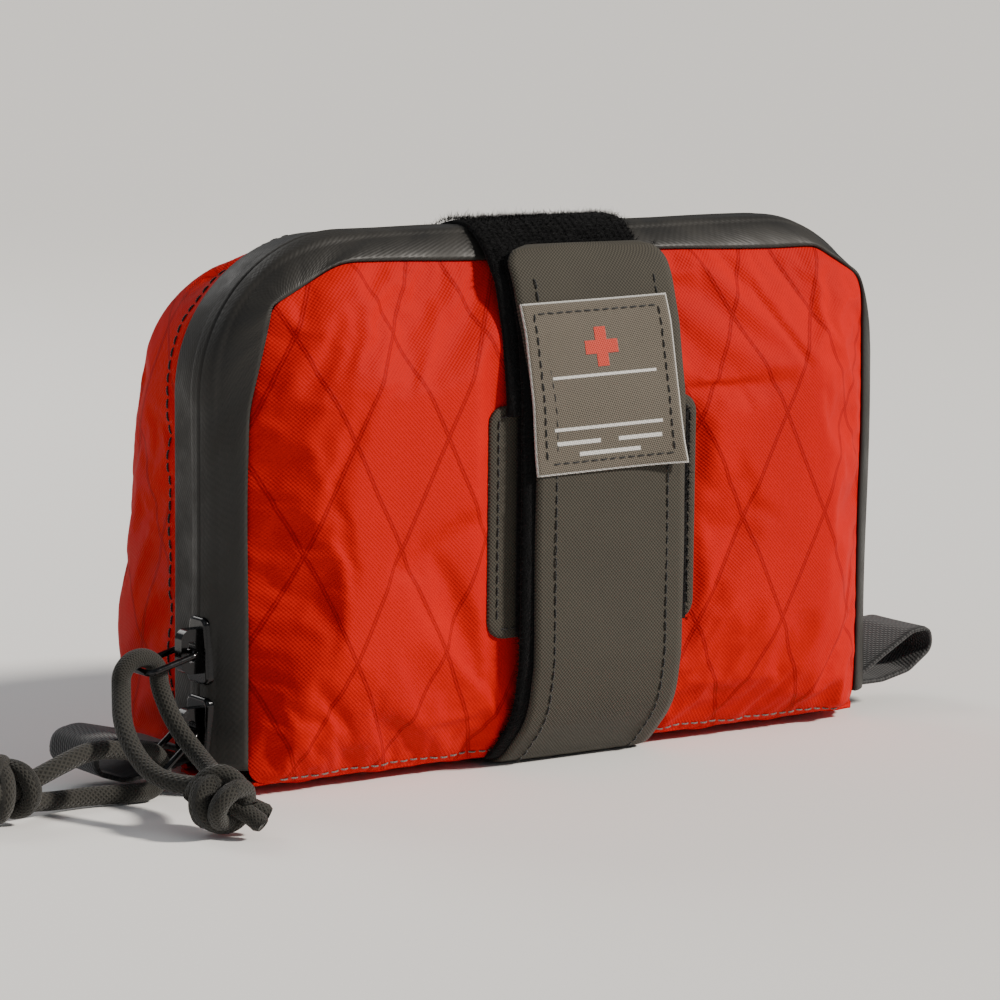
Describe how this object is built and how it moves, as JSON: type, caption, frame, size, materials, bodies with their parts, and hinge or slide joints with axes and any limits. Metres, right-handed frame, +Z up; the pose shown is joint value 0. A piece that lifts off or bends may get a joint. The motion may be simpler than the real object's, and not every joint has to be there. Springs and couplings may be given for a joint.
{
  "type": "first aid kit",
  "caption": "Soft zipped first aid pouch with a hook-and-loop wrap strap, cord zipper pulls, webbing side loops and a hinged lid, packed with supplies.",
  "frame": {"origin": "centre of the base, on the surface the pouch stands on", "axes": "+Z up, +X to the right seen from the front, the lid faces -Y"},
  "size_m": [0.2854, 0.1072, 0.1305],
  "materials": {
    "red_cloth": "coated pack cloth, satin",
    "zipper_tape": "coated water-resistant tape, satin",
    "zipper_teeth": "satin",
    "webbing": "woven, matte",
    "strap_cloth": "coated, matte",
    "loop_pile": "napped, matte",
    "label": "woven label",
    "lining": "matte",
    "mesh": "open mesh",
    "binding": "woven, matte",
    "paper": "printed paper packets",
    "film": "clear film",
    "foil": "metallised film",
    "bandage": "stretch weave",
    "gauze": "open weave",
    "medical_tape": "matte",
    "steel": "brushed",
    "slider_metal": "gloss black",
    "cord": "braided"
  },
  "bodies": {
    "pouch": {"back_shell": "red_cloth", "bottom_panel": "red_cloth", "zipper_tape_back": "zipper_tape", "zipper_teeth_back": "zipper_teeth", "webbing_loop_left": "webbing", "webbing_loop_right": "webbing", "hook_strap_base": "strap_cloth", "loop_strap_base": "loop_pile", "strap_keeper": "strap_cloth", "back_lining": "lining", "back_pocket": "mesh", "back_pocket_binding": "binding", "gauze_pads": "paper", "glove_pack": "film", "triangular_bandage": "film", "emergency_blanket": "foil", "elastic_bandage": "bandage", "gauze_roll": "gauze", "tape_roll": "medical_tape", "tweezers": "steel"},
    "lid": {"lid_shell": "red_cloth", "lid_lining": "lining", "lid_bottom_panel": "red_cloth", "zipper_tape_front": "zipper_tape", "zipper_teeth_front": "zipper_teeth", "strap_pad": "strap_cloth", "loop_field": "loop_pile", "lid_pocket": "mesh", "lid_pocket_binding": "binding", "adhesive_strips": "paper", "antiseptic_wipes": "paper"},
    "hook_flap": {"hook_strap_cloth": "strap_cloth", "hook_strap_pile": "loop_pile", "label_patch": "label"},
    "loop_flap": {"loop_strap_end": "loop_pile"},
    "upper_slider": {"upper_slider": "slider_metal"},
    "upper_pull": {"upper_pull_wire": "slider_metal", "upper_pull_cord": "cord", "upper_pull_knot": "cord"},
    "lower_slider": {"lower_slider": "slider_metal"},
    "lower_pull": {"lower_pull_wire": "slider_metal", "lower_pull_cord": "cord", "lower_pull_knot": "cord"}
  },
  "joints": [
    {"name": "lid_open", "type": "hinge", "parent": "pouch", "child": "lid", "pos_m": [0, -0.0158, 0], "axis": [1, 0, 0], "range_deg": [0, 75], "deforming": ["loop_strap_end"]},
    {"name": "hook_strap_peel", "type": "hinge", "parent": "pouch", "child": "hook_flap", "pos_m": [0, -0.0158, 0], "axis": [1, 0, 0], "range_deg": [0, 106.25]},
    {"name": "loop_strap_peel", "type": "hinge", "parent": "pouch", "child": "loop_flap", "pos_m": [0, 0.0032, 0.1305], "axis": [1, 0, 0], "range_deg": [-150, 0]},
    {"name": "upper_slider_travel", "type": "slide", "parent": "pouch", "child": "upper_slider", "axis": [0, 0, 1], "range_m": [0, 0.048]},
    {"name": "lower_slider_travel", "type": "slide", "parent": "pouch", "child": "lower_slider", "axis": [0, 0, 1], "range_m": [0, 0.0025]},
    {"name": "upper_pull_swing", "type": "hinge", "parent": "upper_slider", "child": "upper_pull", "pos_m": [-0.1015, -0.0158, 0.03395], "axis": [0, 1, 0], "range_deg": [0, 75]},
    {"name": "lower_pull_swing", "type": "hinge", "parent": "lower_slider", "child": "lower_pull", "pos_m": [-0.1015, -0.0158, 0.01555], "axis": [0, 1, 0], "range_deg": [0, 12]}
  ],
  "couplings": [
    {"joint": "hook_strap_peel", "follows": "lid_open", "ratio": 1.4167},
    {"joint": "loop_strap_peel", "follows": "lid_open", "ratio": -2}
  ]
}
